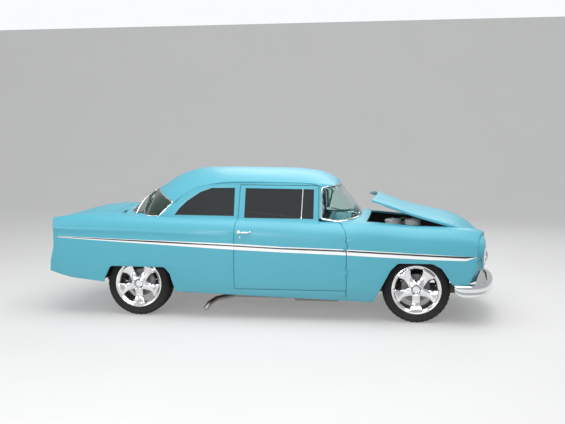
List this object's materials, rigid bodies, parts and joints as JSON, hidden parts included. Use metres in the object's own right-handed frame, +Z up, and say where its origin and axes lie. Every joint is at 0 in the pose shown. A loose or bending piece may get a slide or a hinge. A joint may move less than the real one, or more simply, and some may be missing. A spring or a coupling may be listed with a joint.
{
  "type": "two-door saloon car",
  "caption": "Lowered two-door saloon car from the nineteen-fifties with opening doors, tilting hood and boot lid, steered front wheels and a full cabin.",
  "frame": {"origin": "bottom centre of the car's bounding box, on the ground", "axes": "+X towards the front of the car, +Y to its left side, +Z up"},
  "size_m": [4.7878, 1.9322, 1.5898],
  "materials": {
    "body_paint": "gloss turquoise",
    "under_paint": "satin black",
    "cast_parts": "painted casting",
    "polished_metal": "bright plating",
    "wheel_alloy": "polished",
    "tyre_rubber": "matt",
    "clear_glass": "clear",
    "tinted_glass": "dark tint",
    "lamp_glass": "clear lens with a bright ring",
    "red_lens": "red lens",
    "seat_cover": "soft grain",
    "stripe_paint": "gloss white with a black line",
    "seal_rubber": "matt",
    "carpet": "loop pile",
    "headlining": "woven cloth",
    "wheel_rim_plastic": "gloss"
  },
  "bodies": {
    "car": {"air_cleaners": "polished_metal", "cowl": "body_paint", "dashboard": "body_paint", "drive_shaft": "cast_parts", "engine": "cast_parts", "exhaust": "polished_metal", "fender_left": "body_paint", "fender_right": "body_paint", "floor_pan": "under_paint", "frame": "under_paint", "front_bumper": "polished_metal", "front_seat": "seat_cover", "front_suspension": "under_paint", "fuel_tank": "under_paint", "grille": "polished_metal", "headlamps": "lamp_glass", "inner_fenders": "under_paint", "nose_panel": "body_paint", "quarter_glass": "tinted_glass", "quarter_left": "body_paint", "quarter_right": "body_paint", "radiator": "under_paint", "rear_axle": "under_paint", "rear_deck": "body_paint", "rear_seat": "seat_cover", "rear_window": "tinted_glass", "roof": "body_paint", "steering_wheel": "wheel_rim_plastic", "tail_lamps": "red_lens", "tail_panel": "body_paint", "windscreen": "clear_glass"},
    "door_set_left": {"door_left": "body_paint", "door_glass_left": "tinted_glass"},
    "door_set_right": {"door_right": "body_paint", "door_glass_right": "tinted_glass"},
    "hood_set": {"hood": "body_paint"},
    "boot_lid_set": {"boot_lid": "body_paint"},
    "knuckle_set_left": {"knuckle_left": "cast_parts"},
    "knuckle_set_right": {"knuckle_right": "cast_parts"},
    "wheel_set_front_left": {"tyre_front_left": "tyre_rubber", "wheel_front_left": "wheel_alloy"},
    "wheel_set_front_right": {"tyre_front_right": "tyre_rubber", "wheel_front_right": "wheel_alloy"},
    "wheel_set_rear_left": {"tyre_rear_left": "tyre_rubber", "wheel_rear_left": "wheel_alloy"},
    "wheel_set_rear_right": {"tyre_rear_right": "tyre_rubber", "wheel_rear_right": "wheel_alloy"}
  },
  "joints": [
    {"name": "door_right", "type": "hinge", "parent": "car", "child": "door_set_right", "pos_m": [0.7945, -0.958, 0.66], "axis": [0, 0, 1], "range_deg": [0, 62]},
    {"name": "door_left", "type": "hinge", "parent": "car", "child": "door_set_left", "pos_m": [0.7945, 0.958, 0.66], "axis": [0, 0, -1], "range_deg": [0, 62]},
    {"name": "hood_tilt", "type": "hinge", "parent": "car", "child": "hood_set", "pos_m": [1.912, 0, 0.953], "axis": [0, 1, 0], "range_deg": [-14.5, 0]},
    {"name": "boot_lid_lift", "type": "hinge", "parent": "car", "child": "boot_lid_set", "pos_m": [-1.7325, 0, 1.146], "axis": [0, 1, 0], "range_deg": [0, 60]},
    {"name": "steer_left", "type": "hinge", "parent": "car", "child": "knuckle_set_left", "pos_m": [1.506, 0.64, 0.345], "axis": [0, 0, 1], "range_deg": [-28, 28]},
    {"name": "steer_right", "type": "hinge", "parent": "car", "child": "knuckle_set_right", "pos_m": [1.506, -0.64, 0.345], "axis": [0, 0, 1], "range_deg": [-28, 28]},
    {"name": "wheel_spin_front_left", "type": "hinge", "parent": "knuckle_set_left", "child": "wheel_set_front_left", "pos_m": [1.506, 0.731, 0.345], "axis": [0, 1, 0], "continuous": true},
    {"name": "wheel_spin_front_right", "type": "hinge", "parent": "knuckle_set_right", "child": "wheel_set_front_right", "pos_m": [1.506, -0.731, 0.345], "axis": [0, 1, 0], "continuous": true},
    {"name": "wheel_spin_rear_left", "type": "hinge", "parent": "car", "child": "wheel_set_rear_left", "pos_m": [-1.428, 0.731, 0.345], "axis": [0, 1, 0], "continuous": true},
    {"name": "wheel_spin_rear_right", "type": "hinge", "parent": "car", "child": "wheel_set_rear_right", "pos_m": [-1.428, -0.731, 0.345], "axis": [0, 1, 0], "continuous": true}
  ],
  "couplings": [
    {"joint": "steer_right", "follows": "steer_left", "ratio": 1}
  ]
}
